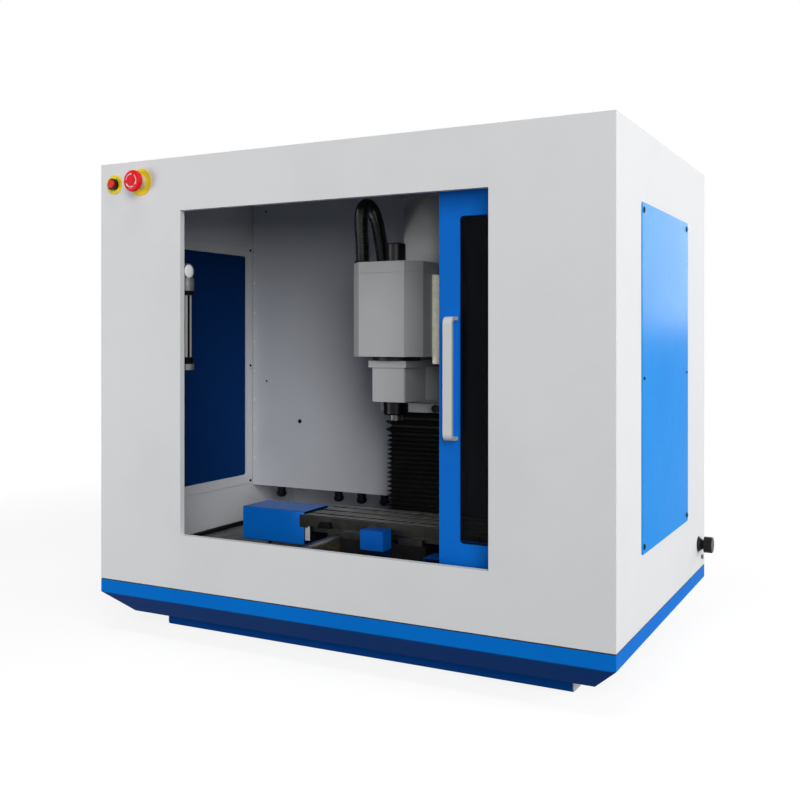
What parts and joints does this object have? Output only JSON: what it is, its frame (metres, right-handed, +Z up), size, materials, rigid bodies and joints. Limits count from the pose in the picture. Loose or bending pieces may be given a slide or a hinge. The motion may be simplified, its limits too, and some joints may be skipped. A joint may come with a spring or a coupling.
{
  "type": "cnc milling machine",
  "caption": "Enclosed bench milling machine with sliding doors, a T-slotted table, a belt-free spindle head on a column and screw-driven axes in a sheet cabinet.",
  "frame": {"origin": "on the floor, under the middle of the cabinet's plan", "axes": "+X to the operator's right, +Y from the doors into the machine, +Z up"},
  "size_m": [1.0319, 0.688, 0.888],
  "materials": {
    "cabinet_white": "fine satin powder coat",
    "machine_blue": "satin powder coat",
    "tray_grey": "satin paint",
    "head_grey": "satin paint",
    "cast_grey": "painted casting",
    "table_iron": "ground and oiled",
    "bright_steel": "ground",
    "black_steel": "black oxide",
    "motor_black": "satin",
    "black_plastic": "satin",
    "gland_grey": "satin",
    "window_tint": "tinted sheet",
    "handle_white": "satin",
    "legend_yellow": "satin",
    "button_red": "gloss",
    "track_aluminium": "mill finish",
    "lamp_grey": "satin",
    "lamp_cream": "satin",
    "bellows_black": "matt"
  },
  "bodies": {
    "cabinet": {"foot_rails": "machine_blue", "base_pan": "machine_blue", "chip_tray": "tray_grey", "front_panel": "cabinet_white", "left_side_panel": "cabinet_white", "right_side_panel": "cabinet_white", "roof_panel": "cabinet_white", "rear_panel": "cabinet_white", "access_panels": "machine_blue", "panel_screws": "black_steel", "upper_door_track": "track_aluminium", "lower_door_track": "track_aluminium", "legend_plates": "legend_yellow", "estop_body": "legend_yellow", "start_button_body": "black_plastic", "electrical_liner": "tray_grey", "cable_glands": "black_plastic", "electrical_modules": "gland_grey", "side_gland": "gland_grey", "work_light_tube": "lamp_grey", "work_light_brackets": "lamp_grey", "base_casting": "cast_grey", "y_guide_rails": "bright_steel", "axis_motors": "motor_black", "y_limit_switch_box": "machine_blue", "column": "head_grey", "z_guide_rails": "bright_steel", "z_bellows": "bellows_black"},
    "front_door": {"front_door_frame": "machine_blue", "front_door_window": "window_tint", "front_door_handle": "handle_white"},
    "rear_door": {"rear_door_frame": "machine_blue", "rear_door_window": "window_tint"},
    "estop": {"estop_mushroom": "button_red"},
    "start": {"start_button": "button_red"},
    "saddle": {"saddle": "cast_grey", "saddle_carriages": "bright_steel", "saddle_nuts": "bright_steel", "x_limit_switch_box": "machine_blue"},
    "table": {"table": "table_iron", "x_guide_rails": "bright_steel", "x_bearing_blocks": "bright_steel", "x_motor": "motor_black", "x_motor_cover": "machine_blue", "trip_dogs": "black_steel", "motor_lead": "black_plastic"},
    "x_screw": {"x_screw": "bright_steel"},
    "y_screw": {"y_screw": "bright_steel"},
    "z_screw": {"z_screw": "bright_steel"},
    "head": {"z_carriage": "head_grey", "z_carriage_blocks": "bright_steel", "head_casting": "head_grey", "head_cover": "head_grey", "head_screws": "black_steel", "spindle_motor": "motor_black", "head_light_bar": "lamp_cream", "drawbar_cap": "black_plastic", "head_conduit": "black_plastic"},
    "spindle": {"spindle": "black_steel", "collet_nut": "bright_steel"}
  },
  "joints": [
    {"name": "front_door_slide", "type": "slide", "parent": "cabinet", "child": "front_door", "axis": [-1, 0, 0], "range_m": [0, 0.504]},
    {"name": "rear_door_slide", "type": "slide", "parent": "cabinet", "child": "rear_door", "axis": [-1, 0, 0], "range_m": [0, 0.192]},
    {"name": "y_slide", "type": "slide", "parent": "cabinet", "child": "saddle", "axis": [0, 1, 0], "range_m": [-0.075, 0.03]},
    {"name": "x_slide", "type": "slide", "parent": "saddle", "child": "table", "axis": [1, 0, 0], "range_m": [-0.146, 0.062], "deforming": ["motor_lead"]},
    {"name": "z_slide", "type": "slide", "parent": "cabinet", "child": "head", "axis": [0, 0, 1], "range_m": [-0.13, 0.04], "deforming": ["z_bellows", "head_conduit"]},
    {"name": "x_screw_spin", "type": "hinge", "parent": "table", "child": "x_screw", "pos_m": [0.036, -0.086, 0.186], "axis": [1, 0, 0], "continuous": true},
    {"name": "y_screw_spin", "type": "hinge", "parent": "cabinet", "child": "y_screw", "pos_m": [0, -0.02, 0.128], "axis": [0, 1, 0], "continuous": true},
    {"name": "z_screw_spin", "type": "hinge", "parent": "cabinet", "child": "z_screw", "pos_m": [0, 0.108, 0.45], "axis": [0, 0, 1], "continuous": true},
    {"name": "spindle_spin", "type": "hinge", "parent": "head", "child": "spindle", "pos_m": [0, -0.068, 0.45], "axis": [0, 0, 1], "continuous": true},
    {"name": "estop_press", "type": "slide", "parent": "cabinet", "child": "estop", "axis": [0, 1, 0], "range_m": [0, 0.005]},
    {"name": "start_press", "type": "slide", "parent": "cabinet", "child": "start", "axis": [0, 1, 0], "range_m": [0, 0.003], "stiffness_N_per_m": 300}
  ],
  "couplings": [
    {"joint": "x_screw_spin", "follows": "x_slide", "rad_per_m": 1256.6},
    {"joint": "y_screw_spin", "follows": "y_slide", "rad_per_m": 1256.6},
    {"joint": "z_screw_spin", "follows": "z_slide", "rad_per_m": 1256.6}
  ]
}
